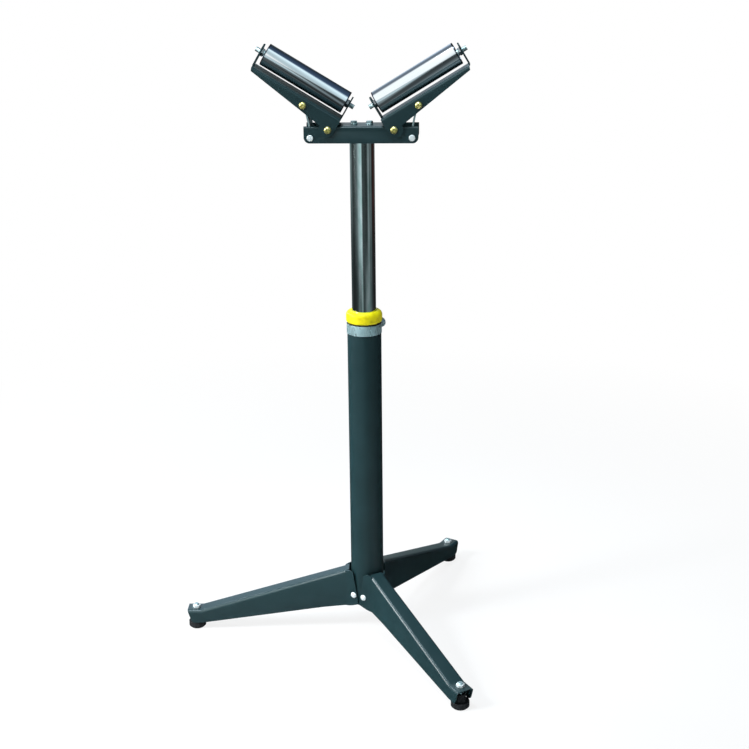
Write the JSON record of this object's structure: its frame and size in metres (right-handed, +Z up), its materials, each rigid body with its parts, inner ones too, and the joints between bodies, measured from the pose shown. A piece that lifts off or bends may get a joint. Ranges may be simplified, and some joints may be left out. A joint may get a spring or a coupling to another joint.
{
  "type": "roller stand",
  "caption": "Height-adjustable pipe support stand with rollers set in a V on a clamped telescopic column and a folded sheet-steel tripod base.",
  "frame": {"origin": "on the floor, under the column's axis", "axes": "+Z up along the column, +X to the right along the head, -Y the front, from which the picture is taken; a pipe lies along Y"},
  "size_m": [0.5355, 0.6045, 1.0792],
  "materials": {
    "painted_steel": "satin",
    "bright_steel": "polished",
    "zinc_plated_steel": "satin",
    "yellow_zinc_steel": "satin",
    "bearing_steel": "polished",
    "ring_plastic": "gloss",
    "bush_plastic": "matte",
    "foot_rubber": "matte"
  },
  "bodies": {
    "stand": {"left_leg": "painted_steel", "front_leg": "painted_steel", "rear_leg": "painted_steel", "leg_rivets": "zinc_plated_steel", "foot_nuts": "zinc_plated_steel", "outer_tube": "painted_steel", "clamp_collar": "zinc_plated_steel", "guard_ring": "ring_plastic"},
    "left_foot": {"left_foot_pad": "foot_rubber", "left_foot_stud": "zinc_plated_steel"},
    "front_foot": {"front_foot_pad": "foot_rubber", "front_foot_stud": "zinc_plated_steel"},
    "rear_foot": {"rear_foot_pad": "foot_rubber", "rear_foot_stud": "zinc_plated_steel"},
    "clamp": {"clamp_screw": "zinc_plated_steel", "clamp_handle": "zinc_plated_steel"},
    "height_carriage": {"guide_bush": "bush_plastic"},
    "mast": {"tube_circlip": "bearing_steel", "inner_tube": "bright_steel", "end_plate": "bright_steel", "head_channel": "painted_steel", "head_bolts": "zinc_plated_steel", "head_bolt_washers": "zinc_plated_steel", "strut_washers": "zinc_plated_steel", "arm_screws": "yellow_zinc_steel", "arm_nuts": "zinc_plated_steel", "strut_rivets": "zinc_plated_steel", "left_arm": "painted_steel", "left_strut": "zinc_plated_steel", "left_axle": "bright_steel", "left_axle_nuts": "zinc_plated_steel", "left_axle_spacers": "zinc_plated_steel", "left_bearing_inner_rings": "bearing_steel", "left_bearing_balls": "bearing_steel", "right_arm": "painted_steel", "right_strut": "zinc_plated_steel", "right_axle": "bright_steel", "right_axle_nuts": "zinc_plated_steel", "right_axle_spacers": "zinc_plated_steel", "right_bearing_inner_rings": "bearing_steel", "right_bearing_balls": "bearing_steel"},
    "left_roller_body": {"left_roller": "bright_steel", "left_bearing_housings": "bright_steel", "left_bearing_outer_rings": "bearing_steel"},
    "right_roller_body": {"right_roller": "bright_steel", "right_bearing_housings": "bright_steel", "right_bearing_outer_rings": "bearing_steel"}
  },
  "joints": [
    {"name": "left_foot_height", "type": "slide", "parent": "stand", "child": "left_foot", "axis": [0, 0, 1], "range_m": [-0.003, 0.001]},
    {"name": "front_foot_height", "type": "slide", "parent": "stand", "child": "front_foot", "axis": [0, 0, 1], "range_m": [-0.003, 0.001]},
    {"name": "rear_foot_height", "type": "slide", "parent": "stand", "child": "rear_foot", "axis": [0, 0, 1], "range_m": [-0.003, 0.001]},
    {"name": "clamp_turn", "type": "hinge", "parent": "stand", "child": "clamp", "pos_m": [0, 0, 0.58825], "axis": [0.5299, 0.848, 0], "range_deg": [0, 270]},
    {"name": "mast_height", "type": "slide", "parent": "stand", "child": "height_carriage", "axis": [0, 0, 1], "range_m": [-0.29, 0.07]},
    {"name": "mast_swivel", "type": "hinge", "parent": "height_carriage", "child": "mast", "pos_m": [0, 0, 0.3795], "axis": [0, 0, 1], "continuous": true},
    {"name": "left_roller_spin", "type": "hinge", "parent": "mast", "child": "left_roller_body", "pos_m": [-0.09261, 0, 1.02218], "axis": [-0.8572, 0, 0.515], "continuous": true},
    {"name": "right_roller_spin", "type": "hinge", "parent": "mast", "child": "right_roller_body", "pos_m": [0.09261, 0, 1.02218], "axis": [0.8572, 0, 0.515], "continuous": true}
  ]
}
